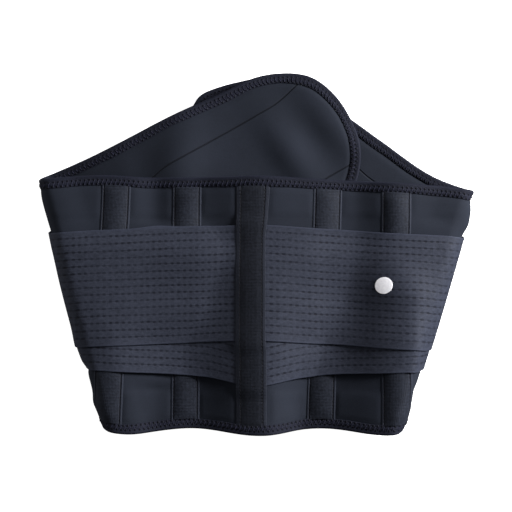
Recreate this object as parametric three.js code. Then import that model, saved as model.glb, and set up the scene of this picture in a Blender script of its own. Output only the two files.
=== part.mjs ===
// Lumbar support belt lying flat, its two sides folded under along slanted lines.
// Millimetres, +Z up. The belt is laid out as a flat pattern: s runs along the belt from the
// middle of the back (plus to the right), t runs up it, h stands out of the outer face.
// place() folds a pattern point into the lying shape, so every layer follows the same bends.
import * as THREE from 'three';

// Back panel and its two folds
const FOLD_REACH = 180;              // from the middle to the fold's outermost line at t = 0
const FOLD_TILT = { left: 14.9, right: 16.6 };   // degrees off vertical
const FOLD_RADIUS = 13.0;              // of the cloth's middle layer
const WING_RUN = { left: 259.8, right: 241 };  // from there to the rounded end's centre
const WING_END_T = 22;                 // t of the rounded end's centre
const WING_END_RADIUS = { left: 79.4, right: 76 };
const FLARE = { left: 0.5, right: 4.2 };         // the fold stands wider above the bands
const FLARE_SPAN = { from: 70, full: 79, fall: 84, to: 106 };
const HALF_HEIGHT = 122;             // of the back panel, from t = 0 to its mean bottom edge
const BOTTOM_WAVE = 2.6;               // its height to either side
const WAVE_LENGTH = 128;
const WAVE_START = 3;                  // s of a low
const WING_LINE_START = FOLD_REACH - 45;   // where the wing's straight lower edge sets off
const CORNER_SOFTNESS = 1.5;           // rounds the corner there
const SWELL = 1.0;                     // how far the back panel rises and sinks

// Layers, outward from the middle of the padded cloth
const CLOTH = 3.5;
const GAP = 0.3;
const STAY_GAP = 0.5;
const STAY = { width: 28, thick: 2.0 };
const BAND = { width: 111, thick: 1.2 };
const BINDING = { reach: 10.3, thick: 1.0, lap: 1.6 };
const SPINE = { centre: -2.4, width: 29, thick: 1.2 };
const PATCH_THICK = 1.0;
const TAB = { start: 352, end: 462, thick: 1.5, half: 56, taper: 42, shoulder: 425, t: 7 };
const BAND_END = 371;                  // s where both bands end under the tab
const LOOP_PANEL = { start: 306, low: -20, high: 66 };
const STICKER = { s: FOLD_REACH * 0.693, t: HALF_HEIGHT * 0.157, radius: 7.9, thick: 0.4 };
const LIFT_FROM = 42;                  // past the fold, where the left wing starts to climb
const LIFT_LENGTH = 76;

// Top edge of the pattern: out, a share of the fold's reach, and up, of the half height
const TOP_EDGE = [
  { out: -2.443, up: 0.831 }, { out: -2, up: 0.873 }, { out: -1.561, up: 0.923 },
  { out: -1.172, up: 0.992 }, { out: -0.839, up: 1.028 }, { out: -0.561, up: 1.011 },
  { out: -0.133, up: 1.015 }, { out: 0, up: 1.021 }, { out: 0.456, up: 0.988 },
  { out: 0.878, up: 0.954 }, { out: 1.172, up: 0.906 }, { out: 1.478, up: 0.811 },
  { out: 1.822, up: 0.824 }, { out: 2.1, up: 0.837 }, { out: 2.339, up: 0.803 },
].map(row => ({ s: row.out * FOLD_REACH, t: row.up * HALF_HEIGHT }));

// Ribbed channels over the stays: their middle at the belt's top and bottom edge, shares of
// the fold's reach
const STAYS = [
  { name: 'stay_channel_left_outer', top: -0.741, bottom: -0.791 },
  { name: 'stay_channel_left_inner', top: -0.363, bottom: -0.376 },
  { name: 'stay_channel_right_inner', top: 0.389, bottom: 0.352 },
  { name: 'stay_channel_right_outer', top: 0.752, bottom: 0.75 },
].map(row => ({ ...row, top: row.top * FOLD_REACH, bottom: row.bottom * FOLD_REACH }));

// Elastic bands: t of the leading edge at the middle, slope outward, and which edge leads
const BANDS = {
  upper: { high: 77.6, slope: { left: -0.038, right: -0.058 } },
  lower: { low: -71.5, slope: { left: 0.060, right: 0.056 }, droop: 6, droopLength: 50 },
};

const radians = THREE.MathUtils.degToRad;
const clamp01 = x => Math.min(1, Math.max(0, x));
const ease = x => { const c = clamp01(x); return c * c * (3 - 2 * c); };
const mix = (a, b, f) => a + (b - a) * f;

const outer = CLOTH / 2;
const tabFace = outer + 3 * GAP + PATCH_THICK + 2 * (BAND.thick + GAP) + TAB.thick;
const wingLevel = tabFace;                                   // middle of the right wing
const liftHeight = outer + BINDING.thick + 2 * GAP + tabFace;   // left wing over the right
const backLevel = wingLevel + 2 * FOLD_RADIUS;

const sides = {};
for (const key of ['left', 'right']) {
  const tilt = radians(FOLD_TILT[key]);
  sides[key] = {
    key,
    sign: key === 'left' ? -1 : 1,
    sin: Math.sin(tilt), cos: Math.cos(tilt), tan: Math.tan(tilt),
    start: FOLD_REACH - (FOLD_RADIUS + outer) / Math.cos(tilt),
    centre: FOLD_REACH + WING_RUN[key],
    radius: WING_END_RADIUS[key],
    flare: FLARE[key],
    lift: key === 'left' ? liftHeight : 0,
  };
}
const sideOf = s => (s < 0 ? sides.left : sides.right);
const foldArc = Math.PI * FOLD_RADIUS;

// Distance past the line where the fold begins
function pastFold(s, t) {
  const side = sideOf(s);
  return (Math.abs(s) - side.start) * side.cos - t * side.sin;
}

// The cloth's middle layer, folded
function base(s, t) {
  const side = sideOf(s);
  const out = Math.abs(s) - side.start;
  const p = out * side.cos - t * side.sin;
  const along = out * side.sin + t * side.cos;
  let reach = p;
  let z = backLevel + SWELL * Math.cos(2 * Math.PI * (s - WAVE_START) / WAVE_LENGTH) * ease(-p / 30);
  if (p > 0 && p < foldArc) {
    const wide = ease((along - FLARE_SPAN.from) / (FLARE_SPAN.full - FLARE_SPAN.from))
      * (1 - ease((along - FLARE_SPAN.fall) / (FLARE_SPAN.to - FLARE_SPAN.fall)));
    const turn = Math.sin(p / FOLD_RADIUS);
    reach = FOLD_RADIUS * turn + side.flare * wide * turn * turn;
    z = backLevel - FOLD_RADIUS * (1 - Math.cos(p / FOLD_RADIUS));
  } else if (p >= foldArc) {
    reach = foldArc - p;
    z = backLevel - 2 * FOLD_RADIUS + side.lift * ease((p - LIFT_FROM) / LIFT_LENGTH);
  }
  const a = side.start + reach * side.cos + along * side.sin;
  return [side.sign * a, -reach * side.sin + along * side.cos, z];
}

// A point h outside the middle layer
function place(s, t, h) {
  const e = 0.05;
  const [x, y, z] = base(s, t);
  const a1 = base(s + e, t), a0 = base(s - e, t);
  const b1 = base(s, t + e), b0 = base(s, t - e);
  const u = new THREE.Vector3(a1[0] - a0[0], a1[1] - a0[1], a1[2] - a0[2]);
  const v = new THREE.Vector3(b1[0] - b0[0], b1[1] - b0[1], b1[2] - b0[2]);
  const n = u.cross(v).normalize();
  return [x + h * n.x, y + h * n.y, z + h * n.z];
}

// Smooth curve through a short table of s and t
function follow(rows, s) {
  const x = Math.min(rows[rows.length - 1].s, Math.max(rows[0].s, s));
  let i = 0;
  while (i < rows.length - 2 && x > rows[i + 1].s) i += 1;
  const slope = k => {
    const a = rows[Math.max(0, k - 1)], b = rows[Math.min(rows.length - 1, k + 1)];
    return (b.t - a.t) / (b.s - a.s);
  };
  const w = rows[i + 1].s - rows[i].s, f = (x - rows[i].s) / w;
  const f2 = f * f, f3 = f2 * f;
  return rows[i].t * (2 * f3 - 3 * f2 + 1) + rows[i + 1].t * (3 * f2 - 2 * f3)
    + w * (slope(i) * (f3 - 2 * f2 + f) + slope(i + 1) * (f3 - f2));
}

// Straight lower edge of a wing, tangent to its rounded end
for (const side of Object.values(sides)) {
  const low = -HALF_HEIGHT - BOTTOM_WAVE * 0.8;
  const ds = side.centre - WING_LINE_START, dt = WING_END_T - low;
  const far = Math.hypot(ds, dt);
  const angle = Math.atan2(dt, ds) - Math.asin(side.radius / far);
  side.lowLine = { s: WING_LINE_START, t: low, sin: Math.sin(angle), cos: Math.cos(angle) };
}

// How far a pattern point lies inside the cut edge
function inside(s, t) {
  const side = sideOf(s), a = Math.abs(s), line = side.lowLine;
  const wave = -HALF_HEIGHT - BOTTOM_WAVE * Math.cos(2 * Math.PI * (s - WAVE_START) / WAVE_LENGTH);
  const ds = a - side.centre, dt = t - WING_END_T;
  const toLine = (t - line.t) * line.cos - (a - line.s) * line.sin;
  const round = side.radius - Math.hypot(ds, dt);
  const soft = -CORNER_SOFTNESS * Math.log(Math.exp((wave - t) / CORNER_SOFTNESS)
    + Math.exp(-toLine / CORNER_SOFTNESS));
  const low = ds * line.cos + dt * line.sin > 0 && dt < 0 ? round : soft;
  const high = ds > 0 ? (dt >= 0 ? round : Infinity) : follow(TOP_EDGE, s) - t;
  return Math.min(low, high);
}

// Where a line of the pattern meets the cut edge, set in by some distance
function meet(line, inset, up) {
  const k = Math.abs(line.k), past = Math.abs(line.s) + k * WING_END_T - sideOf(line.s).centre;
  let a = WING_END_T - Math.max(0, past) * k / (1 + k * k), b = up ? 150 : -150;
  for (let i = 0; i < 46; i += 1) {
    const m = (a + b) / 2;
    if (inside(line.s + line.k * m, m) > inset) a = m; else b = m;
  }
  return a;
}

// Lines across the belt: at t the line stands at s + k t
const foldLine = (side, p) => ({ s: side.sign * (side.start + p / side.cos), k: side.sign * side.tan });
const shares = n => Array.from({ length: n + 1 }, (_, i) => i / n);
const FOLD_STEPS = shares(10).map(f => f * foldArc);
const LIFT_STEPS = shares(6).map(f => LIFT_FROM + 2 + f * LIFT_LENGTH);

// A closed sheet over a grid of pattern points, between two heights
function solid(grid, low, high) {
  const n = grid.length, m = grid[0].length, points = [], faces = [];
  for (const side of [high, low]) {
    grid.forEach(column => column.forEach((g, j) => points.push(...place(g.s, g.t, side(g.s, g.t, j)))));
  }
  const top = (i, j) => i * m + j, under = (i, j) => n * m + i * m + j;
  const quad = (a, b, c, d) => faces.push(a, b, c, a, c, d);
  const bend = (i, j) => pastFold(grid[i][j].s, grid[i][j].t);
  for (let i = 0; i < n - 1; i += 1) {
    for (let j = 0; j < m - 1; j += 1) {
      const a = top(i, j), b = top(i + 1, j), c = top(i + 1, j + 1), d = top(i, j + 1);
      const e = under(i, j), f = under(i, j + 1), g = under(i + 1, j + 1), k = under(i + 1, j);
      // the diagonal that bends least round the fold
      const turn = Math.abs(bend(i, j) - bend(i + 1, j + 1)) > Math.abs(bend(i + 1, j) - bend(i, j + 1));
      if (turn) {
        quad(b, c, d, a);
        quad(k, e, f, g);
      } else {
        quad(a, b, c, d);
        quad(e, f, g, k);
      }
    }
    quad(under(i, 0), under(i + 1, 0), top(i + 1, 0), top(i, 0));
    quad(top(i, m - 1), top(i + 1, m - 1), under(i + 1, m - 1), under(i, m - 1));
  }
  for (let j = 0; j < m - 1; j += 1) {
    quad(top(0, j), top(0, j + 1), under(0, j + 1), under(0, j));
    quad(under(n - 1, j), under(n - 1, j + 1), top(n - 1, j + 1), top(n - 1, j));
  }
  return shell(points, faces);
}

function shell(points, faces) {
  const geometry = new THREE.BufferGeometry();
  geometry.setAttribute('position', new THREE.Float32BufferAttribute(points, 3));
  geometry.setIndex(faces);
  geometry.computeVertexNormals();
  return geometry;
}

// Lines that the cloth and its binding share, from the left end to the right one
function bodyLines(inset) {
  const half = side => {
    const list = shares(9).slice(1).map(f => {
      const c = f * side.start;
      return { s: side.sign * c, k: side.sign * side.tan * f };
    });
    FOLD_STEPS.slice(1).forEach(p => list.push(foldLine(side, p)));
    LIFT_STEPS.forEach(p => list.push(foldLine(side, p)));
    const middle = (side.centre - side.start) * side.cos - WING_END_T * side.sin;
    const last = middle + side.radius - 0.06 - inset, from = LIFT_FROM + LIFT_LENGTH + 2;
    shares(4).slice(1).forEach(f => list.push(foldLine(side, mix(from, middle, f))));
    shares(10).slice(1).map(f => middle + side.radius * Math.sin(f * Math.PI / 2))
      .filter(p => p < last - 0.8).forEach(p => list.push(foldLine(side, p)));
    list.push(foldLine(side, last));
    return list;
  };
  return [...half(sides.left).reverse(), { s: 0, k: 0 }, ...half(sides.right)];
}

function beltBody() {
  const lines = bodyLines(BINDING.lap);
  const grid = lines.map(line => {
    const a = meet(line, BINDING.lap, false), b = meet(line, BINDING.lap, true);
    return [0, 0.1, 0.5, 0.8, 0.84, 0.88, 0.92, 0.96, 1].map(f => {
      const t = mix(a, b, f);
      return { s: line.s + line.k * t, t };
    });
  });
  return solid(grid, () => -outer, () => outer);
}

// Binding: a channel section carried round the whole cut edge
function edgeBinding() {
  const lines = bodyLines(0);
  const ring = [];
  const add = (line, up) => {
    const t = meet(line, 0, up), s = line.s + line.k * t, e = 0.2;
    const gs = inside(s + e, t) - inside(s - e, t), gt = inside(s, t + e) - inside(s, t - e);
    const size = Math.hypot(gs, gt) || 1;
    ring.push({ s, t, ns: gs / size, nt: gt / size });
  };
  lines.forEach(line => add(line, false));
  [...lines].reverse().forEach(line => add(line, true));
  const inner = outer + GAP, face = inner + BINDING.thick, reach = BINDING.reach;
  const section = [
    [reach, face], [0, face], [0, -face], [reach, -face],
    [reach, -inner], [BINDING.thick, -inner], [BINDING.thick, inner], [reach, inner],
  ];
  const points = [], faces = [], m = section.length, n = ring.length;
  ring.forEach(r => section.forEach(([d, h]) => points.push(...place(r.s + r.ns * d, r.t + r.nt * d, h))));
  for (let i = 0; i < n; i += 1) {
    for (let j = 0; j < m; j += 1) {
      const far = (i + 1) % n, next = (j + 1) % m;
      const a = i * m + j, b = i * m + next, c = far * m + next, d = far * m + j;
      const bend = (r, q) => pastFold(r.s + r.ns * section[q][0], r.t + r.nt * section[q][0]);
      const turn = Math.abs(bend(ring[i], j) - bend(ring[far], next))
        > Math.abs(bend(ring[i], next) - bend(ring[far], j));
      if (turn) faces.push(b, c, d, b, d, a);
      else faces.push(a, b, c, a, c, d);
    }
  }
  return shell(points, faces);
}

// Middle line of a stay channel
function stayLine(stay, offset) {
  const k = (stay.top - stay.bottom) / (2 * HALF_HEIGHT);
  return { s: (stay.top + stay.bottom) / 2 + offset, k };
}

function stayChannel(stay) {
  const w = STAY.width / 2;
  const lines = [-w, -w + 1.2, -w * 0.6, -w * 0.2, w * 0.2, w * 0.6, w - 1.2, w]
    .map(d => stayLine(stay, d));
  const grid = lines.map(line => {
    const a = meet(line, BINDING.reach + GAP, false) + 0.2, b = meet(line, BINDING.reach + GAP, true) - 0.2;
    return shares(18).map(f => ({ s: line.s + line.k * mix(a, b, f), t: mix(a, b, f) }));
  });
  const crest = outer + STAY_GAP + STAY.thick;
  const high = (s, t) => {
    const mid = stayLine(stay, 0);
    return Math.abs(s - mid.s - mid.k * t) > w - 0.6 ? crest - 0.7 : crest;
  };
  return solid(grid, () => outer + STAY_GAP, high);
}

// Elastic bands
const bandHigh = (side, a) => BANDS.upper.high + BANDS.upper.slope[side.key] * a;
const bandLow = (side, a) => BANDS.lower.low + BANDS.lower.slope[side.key] * a
  - BANDS.lower.droop * (1 - ease(a / BANDS.lower.droopLength));
const rise = STAY_GAP + STAY.thick;          // what a stay channel adds under a band

function bandLines(side) {
  const w = STAY.width / 2, list = [{ line: { s: SPINE.centre + side.sign * 9, k: 0 }, rib: 0 }];
  const own = STAYS.filter(stay => Math.sign(stay.top) === side.sign)
    .sort((a, b) => Math.abs(a.top) - Math.abs(b.top));
  const between = (line, count) => {
    const before = list[list.length - 1];
    shares(count).slice(1, -1).forEach(f => list.push({
      line: { s: mix(before.line.s, line.s, f), k: mix(before.line.k, line.k, f) }, rib: before.rib,
    }));
  };
  own.forEach((stay, i) => {
    const put = (d, rib) => list.push({ line: stayLine(stay, side.sign * d), rib });
    between(stayLine(stay, side.sign * (-w - 3)), 3);
    put(-w - 3, 0);
    put(-w - 0.5, 1);
    if (i < own.length - 1) {
      put(0, 1);
      put(w + 0.5, 1);
      put(w + 3, 0);
    }
  });
  between(foldLine(side, 0), 4);
  FOLD_STEPS.forEach((p, i) => list.push({ line: foldLine(side, p), rib: i > 8 ? 0 : 1 }));
  LIFT_STEPS.forEach(p => list.push({ line: foldLine(side, p), rib: 0 }));
  list.push({ line: { s: side.sign * mix(TAB.start, BAND_END, -1), k: side.sign * side.tan / 2 }, rib: 0 });
  list.push({ line: { s: side.sign * BAND_END, k: 0 }, rib: 0 });
  return side.sign < 0 ? list.reverse() : list;
}

function band(side, upper) {
  const list = bandLines(side), at = new Map();
  const edges = upper
    ? [a => bandHigh(side, a) - BAND.width,
      a => Math.min(bandLow(side, a) + BAND.width + 1, bandHigh(side, a) - 12),
      a => Math.min(bandLow(side, a) + BAND.width + 4, bandHigh(side, a) - 8),
      a => bandHigh(side, a)]
    : [a => bandLow(side, a), a => bandLow(side, a) + BAND.width];
  const points = list.map(({ line, rib }) => edges.map((edge, j) => {
    let t = 0;
    for (let i = 0; i < 14; i += 1) t = edge(Math.abs(line.s + line.k * t));
    const s = line.s + line.k * t, a = Math.abs(s);
    const far = ease((pastFold(s, t) - 60) / 50);
    const over = upper ? (j < 2 ? 1 : ease((pastFold(s, t) - foldArc * 0.6) / 20)) : 0;
    const h = outer + GAP + rib * rise + far * (PATCH_THICK + GAP)
      + over * (BAND.thick + GAP);
    return { s, t, h };
  }));
  points.forEach(column => column.forEach(g => at.set(`${g.s},${g.t}`, g.h)));
  const low = (s, t) => at.get(`${s},${t}`);
  return solid(points, low, (s, t) => low(s, t) + BAND.thick);
}

// Cover over the middle, from binding to binding, which steps over the bands' inner ends
function spineCover() {
  const c = SPINE.centre, w = SPINE.width / 2, side = sides.right, inset = BINDING.reach + GAP;
  const hi = bandHigh(side, 0), lowTop = bandLow(side, 0) + BAND.width;
  const hiBottom = hi - BAND.width, low = bandLow(side, 0), one = BAND.thick + GAP;
  const steps = [
    [low - 3.5, 0], [low - 1, one], [hiBottom - 4.5, one], [hiBottom - 2, 2 * one],
    [hiBottom + 40, 2 * one], [lowTop + 7.5, 2 * one], [lowTop + 10, one + 0.3],
    [hi + 1, one + 0.3], [hi + 3.5, 0],
  ];
  const rises = [0, ...steps.map(row => row[1]), 0];
  const grid = [-w, -w / 2, 0, w / 2, w].map(d => {
    const line = { s: c + d, k: 0 };
    return [meet(line, inset, false), ...steps.map(row => row[0]), meet(line, inset, true)]
      .map(t => ({ s: line.s, t }));
  });
  const under = (s, t, j) => outer + GAP + rises[j];
  return solid(grid, under, (s, t, j) => under(s, t, j) + SPINE.thick);
}

// Loop panel on the outer face of a wing, cut to the rounded end
function loopPanel(side) {
  const inset = BINDING.reach + 0.6, far = side.centre + side.radius - inset;
  const from = LOOP_PANEL.start - (sides.left.centre - side.centre);
  const lines = [...shares(5).map(f => mix(from, far - 26, f)),
    ...shares(6).slice(1).map(f => far - 26 + 25.6 * Math.sin(f * Math.PI / 2))]
    .map(a => ({ s: side.sign * a, k: 0 }));
  const grid = (side.sign < 0 ? lines.reverse() : lines).map(line => {
    const a = Math.max(LOOP_PANEL.low, meet(line, inset, false));
    const b = Math.min(LOOP_PANEL.high, meet(line, inset, true));
    return shares(2).map(f => ({ s: line.s, t: mix(a, b, f) }));
  });
  return solid(grid, () => outer + GAP, () => outer + GAP + PATCH_THICK);
}

// Pull tab that takes both bands' ends, and the hook patch under it
function tabGrid(side, start, trim) {
  const half = a => {
    const taper = mix(TAB.half, TAB.taper, clamp01((a - TAB.start) / (TAB.shoulder - TAB.start)));
    const round = clamp01((a - TAB.shoulder) / (TAB.end - TAB.shoulder));
    return (a > TAB.shoulder ? TAB.taper * Math.sqrt(1 - round * round * 0.75) : taper) - trim;
  };
  const end = TAB.end - trim;
  const lines = [...shares(3).map(f => mix(start, TAB.shoulder, f)),
    ...shares(5).slice(1).map(f => mix(TAB.shoulder, end, Math.sin(f * Math.PI / 2)))];
  return (side.sign < 0 ? lines.reverse() : lines).map(a => shares(2).map(f => ({
    s: side.sign * a, t: TAB.t + mix(-half(a), half(a), f),
  })));
}

const looks = {
  cloth: { color: '#2a2e37', roughness: 0.85 },
  binding: { color: '#1e1e2c', roughness: 0.75 },
  elastic: { color: '#3a3e4a', roughness: 0.8 },
  webbing: { color: '#262a34', roughness: 0.7 },
  hook: { color: '#17181c', roughness: 0.9 },
  sticker: { color: '#f5f3fa', roughness: 0.4 },
};
const group = new THREE.Group();
group.name = 'lumbar_support_belt';
function add(name, look, geometry) {
  const material = new THREE.MeshStandardMaterial({ ...looks[look], metalness: 0 });
  material.name = look;
  const mesh = new THREE.Mesh(geometry, material);
  mesh.name = name;
  group.add(mesh);
}

add('belt_body', 'cloth', beltBody());
add('edge_binding', 'binding', edgeBinding());
add('spine_cover', 'webbing', spineCover());
STAYS.forEach(stay => add(stay.name, 'webbing', stayChannel(stay)));
for (const side of Object.values(sides)) {
  add(`lower_band_${side.key}`, 'elastic', band(side, false));
  add(`upper_band_${side.key}`, 'elastic', band(side, true));
  add(`loop_panel_${side.key}`, 'cloth', loopPanel(side));
  const under = outer + 2 * GAP + PATCH_THICK;
  add(`tab_hook_patch_${side.key}`, 'hook', solid(tabGrid(side, BAND_END + 8, 4),
    () => under, () => tabFace - TAB.thick - GAP));
  add(`pull_tab_${side.key}`, 'webbing', solid(tabGrid(side, TAB.start, 0),
    () => tabFace - TAB.thick, () => tabFace));
}

// Size sticker, bare, on the upper right band
{
  const { s, t, radius, thick } = STICKER, stay = STAYS[3], w = STAY.width / 2;
  const edge = [stayLine(stay, -w - 3), stayLine(stay, -w - 0.5)];
  const lines = shares(10).map(f => ({ s: s - radius * 0.995 * Math.cos(f * Math.PI), k: 0 }))
    .filter(line => edge.every(e => Math.abs(line.s - e.s) > 0.8));
  const all = [...lines, ...edge].sort((a, b) => a.s - b.s);
  const ribAt = (x, y) => clamp01((x - edge[0].s - edge[0].k * y) / (edge[1].s - edge[0].s));
  const grid = all.map(line => {
    const ds = line.s + line.k * t - s, half = Math.sqrt(Math.max(0.6, radius * radius - ds * ds));
    return shares(2).map(f => {
      const y = t + mix(-half, half, f);
      return { s: line.s + line.k * y, t: y };
    });
  });
  const under = (x, y) => outer + 2 * GAP + 2 * BAND.thick + GAP + ribAt(x, y) * rise;
  add('size_sticker', 'sticker', solid(grid, under, (x, y) => under(x, y) + thick));
}

// Stand the whole on z = 0 with the middle of its box on the origin
const box = new THREE.Box3();
group.children.forEach(mesh => {
  mesh.geometry.computeBoundingBox();
  box.union(mesh.geometry.boundingBox);
});
const shift = box.getCenter(new THREE.Vector3()).negate();
shift.z = -box.min.z;
group.children.forEach(mesh => mesh.geometry.translate(shift.x, shift.y, shift.z));

export default group;
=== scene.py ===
import math

import bpy
import numpy as np
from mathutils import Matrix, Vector


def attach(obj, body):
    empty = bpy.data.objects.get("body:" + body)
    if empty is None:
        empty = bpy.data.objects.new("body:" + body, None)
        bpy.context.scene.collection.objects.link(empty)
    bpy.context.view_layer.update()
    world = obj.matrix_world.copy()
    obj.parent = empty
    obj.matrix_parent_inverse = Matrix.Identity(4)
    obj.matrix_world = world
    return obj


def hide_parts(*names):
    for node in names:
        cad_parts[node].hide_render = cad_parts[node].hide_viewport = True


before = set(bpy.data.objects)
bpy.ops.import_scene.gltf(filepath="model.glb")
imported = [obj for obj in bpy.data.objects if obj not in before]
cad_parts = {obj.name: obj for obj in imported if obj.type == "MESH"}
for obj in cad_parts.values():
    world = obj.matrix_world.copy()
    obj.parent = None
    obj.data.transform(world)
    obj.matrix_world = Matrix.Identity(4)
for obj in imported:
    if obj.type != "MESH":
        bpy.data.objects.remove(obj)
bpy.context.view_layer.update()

# Everything below is worked out in millimetres on the belt's flat pattern and folded by place():
# s runs along the belt from the middle of the back, t runs up it, h stands out of the outer face.
MM = 0.001
SHIFT = np.array([-0.303, -50.0, 0.0])      # from the pattern's origin to the frame's
FOLD_REACH = 180.0
TILT = {-1: math.radians(14.9), 1: math.radians(16.6)}
RADIUS = 13.0
RUN = {-1: 259.8, 1: 241.0}
END_T = 22.0
END_RADIUS = {-1: 79.4, 1: 76.0}
# Strays of each fold's edge: how far out, where along the fold, over what length
FOLD_STRAYS = {-1: [(-1.1, 62, 26), (-3.4, 128, 11), (1.2, -36, 12), (-2.4, -58, 5), (2.4, -94, 8),
                    (-1.8, -120, 8)],
               1: [(4.0, 88, 12), (0.9, 100, 5), (-1.9, 113, 6), (-1.0, -82, 6), (1.5, -103, 8),
                   (-1.4, -121, 5)]}
# Strays of a wing's outline in plan: how far in x and y, about which point, over what radius
WING_STRAYS = {-1: [(0.0, 1.9, -86, 182, 46), (1.6, 2.4, 52, 220, 24), (-1.2, -1.2, 96, 182, 20)],
               1: [(-2.4, 3.6, -55, 203, 16), (0.0, -2.4, -16, 221, 20)]}
HALF_HEIGHT = 122.0
WAVE, WAVE_LENGTH, WAVE_START = 2.6, 128.0, 3.0
OUTER = 1.75                                # half of the padded cloth
GAP = 0.3
BAND_WIDE, BAND_THICK = 111.0, 1.2
WING_LEVEL, BACK_LEVEL, LIFT = 8.15, 34.15, 11.5
LIFT_FROM, LIFT_LENGTH = 42.0, 76.0
BAND_END = 371.0
SPINE_AT, SPINE_HALF = -2.4, 14.5
TUCK = 9.5                                  # where tapes end under the binding, in from the cut edge
STEP = 26.0                                 # over what length the upper layers leave the lower band
ZIGZAG, SLANT = 4.3, 1.7                    # zigzag stitches: one every, and how far each leans
HOLES = 4.6, 8.8                            # the two rows of needle holes, in from the cut edge
PITCH, STITCH = 3.3, 2.6                    # straight stitches: one every, and how long
LOOP_START, LOOP_LOW, LOOP_HIGH = 306.0, -20, 66
LOOP_THICK, LOOP_INSET = 1.0, 9.6
TAB_START, TAB_SHOULDER, TAB_END, TAB_MID = 352.0, 425.0, 462.0, 7.0
TAB_HALF, TAB_TIP = 56.0, 42.0
TAB_THICK = 1.5
STICKER_S, STICKER_T, STICKER_RADIUS = FOLD_REACH * 0.693, HALF_HEIGHT * 0.157, 7.9
TOP_OUT = np.array([-2.443, -2, -1.561, -1.172, -0.839, -0.561, -0.133, 0, 0.456, 0.878, 1.172,
                    1.478, 1.822, 2.1, 2.339]) * FOLD_REACH
TOP_UP = np.array([0.831, 0.873, 0.923, 0.992, 1.028, 1.011, 1.015, 1.021, 0.988, 0.954, 0.906,
                   0.811, 0.824, 0.837, 0.803]) * HALF_HEIGHT
STAYS = [(-0.741, -0.791), (-0.363, -0.376), (0.389, 0.352), (0.752, 0.75)]
STAY_NODES = ["stay_channel_left_outer", "stay_channel_left_inner",
              "stay_channel_right_inner", "stay_channel_right_outer"]


def ease(x):
    """3x^2 - 2x^3 between 0 and 1."""
    x = np.clip(x, 0, 1)
    return x * x * (3 - 2 * x)


def mix(a, b, f):
    """a where f is 0, b where it is 1."""
    return a + (b - a) * f


def pick(s, table):
    """The left or right value for each s."""
    return np.where(s < 0, table[-1], table[1])


START = {k: FOLD_REACH - (RADIUS + OUTER) / math.cos(TILT[k]) for k in (-1, 1)}
CENTRE = {k: FOLD_REACH + RUN[k] for k in (-1, 1)}
ARC = math.pi * RADIUS


def fold_place(s, t):
    """Distance past the line where the fold begins, and distance along that line."""
    tilt, out = pick(s, TILT), np.abs(s) - pick(s, START)
    return out * np.cos(tilt) - t * np.sin(tilt), out * np.sin(tilt) + t * np.cos(tilt)


def hump(x, y, cx, cy, rx, ry, turn=0.0):
    """exp(-r^2) of an ellipse about (cx, cy), turned by turn degrees."""
    c, w = math.cos(math.radians(turn)), math.sin(math.radians(turn))
    u, v = (x - cx) * c + (y - cy) * w, -(x - cx) * w + (y - cy) * c
    return np.exp(-(u / rx) ** 2 - (v / ry) ** 2)


# How the back panel rises and sinks, a row for each height t: z of the left ridge, s and z of the left
# valley, z of the crest under the spine, s and z of the right valley, s and z of the right ridge
RELIEF = np.array([
    (-97, 1.5, -64, -9, 7, 48, -9, 146, 11),
    (-43, 1, -70, -9, 8, 68, -9, 150, 11),
    (3, 0, -48, -4, 7, 84, -8, 150, 8),
    (53, 0, -32, 0.5, 6, 93, -3, 136, 2),
    (97, -3, -60, -4, 6, 95, -2, 135, 5)], float)
LEFT_RIDGE, CREST = -150.0, 9.0


def back_relief(s, t, p):
    """The table's heights, eased from row to row up the belt and from point to point along it, and
    lost at each fold; the bare cloth also hangs hollow between the left stays."""
    i = np.clip(np.searchsorted(RELIEF[:, 0], t) - 1, 0, len(RELIEF) - 2)
    f = ease((t - RELIEF[i, 0]) / (RELIEF[i + 1, 0] - RELIEF[i, 0]))
    row = mix(RELIEF[i], RELIEF[i + 1], f[..., None])
    left, low_s, low, crest, dip_s, dip, high_s, high = np.moveaxis(row[..., 1:], -1, 0)
    edge = START[1] + t * math.tan(TILT[1])
    z = (left + (low - left) * ease((s - LEFT_RIDGE) / (low_s - LEFT_RIDGE))
         + (crest - low) * ease((s - low_s) / (CREST - low_s))
         + (dip - crest) * ease((s - CREST) / (dip_s - CREST))
         + (high - dip) * ease((s - dip_s) / (high_s - dip_s))
         - high * ease((s - high_s) / np.maximum(edge - high_s + 14 - 30 * ease((t - 70) / 20), 8)))
    hollow = np.exp(-((s + 97) / 16) ** 2) * (4.0 * ease((t - 72) / 10) + 2.5 * ease((-72 - t) / 10))
    return (z - hollow) * np.where(s < 0, ease(-p / 30), 1)


def wing_relief(x, y, left):
    """Slow hollows and swells of the wing that lies on top, as humps in plan."""
    z = (6.5 * hump(x, y, -74, 142, 24, 46, -12) + 5.0 * hump(x, y, 36, 146, 17, 44, 36)
         + 4.0 * hump(x, y, 74, 176, 16, 42, 38))
    return np.where(left, z, 0)


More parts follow.
